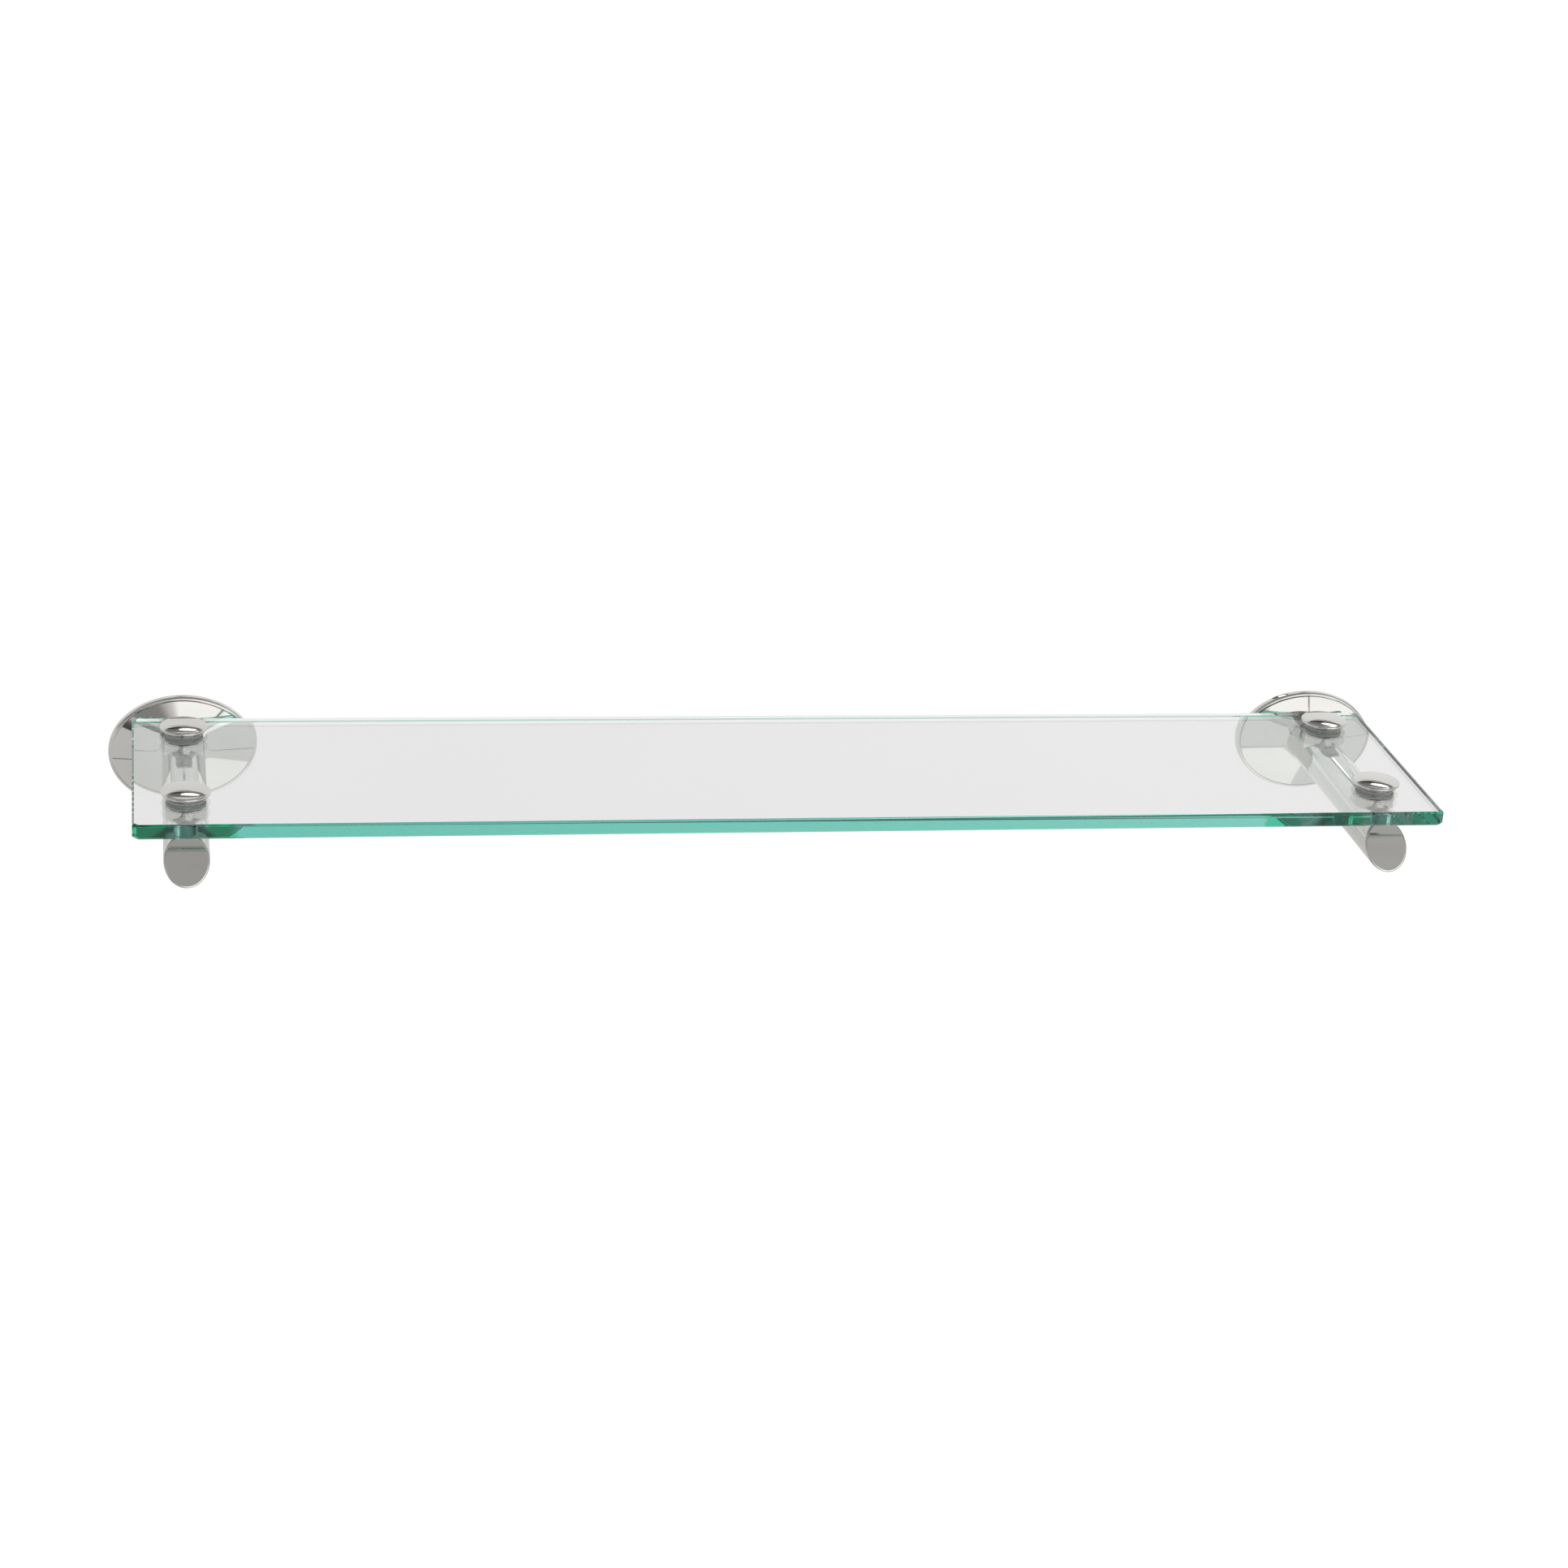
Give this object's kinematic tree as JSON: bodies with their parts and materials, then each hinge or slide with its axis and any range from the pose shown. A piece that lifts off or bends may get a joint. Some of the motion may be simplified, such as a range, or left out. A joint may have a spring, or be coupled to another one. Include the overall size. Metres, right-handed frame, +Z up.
{
  "type": "glass wall shelf",
  "caption": "Clear glass shelf with green edges, clamped by round caps to two round-bar arms that stand out from oval polished wall flanges.",
  "frame": {"origin": "on the wall plane, midway between the two brackets and level with the axes of their arms, which is the centre of the four wall-fixing holes", "axes": "+Z up, +X to the right along the wall, +Y into the wall, so the shelf reaches out along -Y"},
  "size_m": [0.6324, 0.138, 0.0564],
  "materials": {
    "glass": "clear float glass with ground and polished green edges",
    "nickel": "polished nickel plate",
    "steel": "plain turned steel",
    "zinc": "dull zinc-plated pressing",
    "clear_plastic": "clear soft plastic"
  },
  "bodies": {
    "root": {"glass_shelf": "glass", "left_flange": "nickel", "left_arm": "nickel", "left_arm_bolt": "steel", "left_wall_plate": "zinc", "left_set_screw": "steel", "right_flange": "nickel", "right_arm": "nickel", "right_arm_bolt": "steel", "right_wall_plate": "zinc", "right_set_screw": "steel", "left_rear_post": "nickel", "left_rear_gasket": "clear_plastic", "left_rear_sleeve": "clear_plastic", "left_front_post": "nickel", "left_front_gasket": "clear_plastic", "left_front_sleeve": "clear_plastic", "right_rear_post": "nickel", "right_rear_gasket": "clear_plastic", "right_rear_sleeve": "clear_plastic", "right_front_post": "nickel", "right_front_gasket": "clear_plastic", "right_front_sleeve": "clear_plastic"},
    "left_rear_lift": {"left_rear_washer": "clear_plastic"},
    "left_rear_screw": {"left_rear_cap": "nickel", "left_rear_stud": "steel"},
    "left_front_lift": {"left_front_washer": "clear_plastic"},
    "left_front_screw": {"left_front_cap": "nickel", "left_front_stud": "steel"},
    "right_rear_lift": {"right_rear_washer": "clear_plastic"},
    "right_rear_screw": {"right_rear_cap": "nickel", "right_rear_stud": "steel"},
    "right_front_lift": {"right_front_washer": "clear_plastic"},
    "right_front_screw": {"right_front_cap": "nickel", "right_front_stud": "steel"}
  },
  "joints": [
    {"name": "left_rear_rise", "type": "slide", "parent": "root", "child": "left_rear_lift", "axis": [0, 0, 1], "range_m": [0, 0.0086]},
    {"name": "left_rear_turn", "type": "hinge", "parent": "left_rear_lift", "child": "left_rear_screw", "pos_m": [-0.281, -0.0285, 0.02055], "axis": [0, 0, 1], "range_deg": [0, 3060]},
    {"name": "left_front_rise", "type": "slide", "parent": "root", "child": "left_front_lift", "axis": [0, 0, 1], "range_m": [0, 0.0086]},
    {"name": "left_front_turn", "type": "hinge", "parent": "left_front_lift", "child": "left_front_screw", "pos_m": [-0.281, -0.1065, 0.02055], "axis": [0, 0, 1], "range_deg": [0, 3060]},
    {"name": "right_rear_rise", "type": "slide", "parent": "root", "child": "right_rear_lift", "axis": [0, 0, 1], "range_m": [0, 0.0086]},
    {"name": "right_rear_turn", "type": "hinge", "parent": "right_rear_lift", "child": "right_rear_screw", "pos_m": [0.281, -0.0285, 0.02055], "axis": [0, 0, 1], "range_deg": [0, 3060]},
    {"name": "right_front_rise", "type": "slide", "parent": "root", "child": "right_front_lift", "axis": [0, 0, 1], "range_m": [0, 0.0086]},
    {"name": "right_front_turn", "type": "hinge", "parent": "right_front_lift", "child": "right_front_screw", "pos_m": [0.281, -0.1065, 0.02055], "axis": [0, 0, 1], "range_deg": [0, 3060]}
  ],
  "couplings": [
    {"joint": "left_rear_rise", "follows": "left_rear_turn", "m_per_rad": 0.00015915},
    {"joint": "left_front_rise", "follows": "left_front_turn", "m_per_rad": 0.00015915},
    {"joint": "right_rear_rise", "follows": "right_rear_turn", "m_per_rad": 0.00015915},
    {"joint": "right_front_rise", "follows": "right_front_turn", "m_per_rad": 0.00015915}
  ]
}
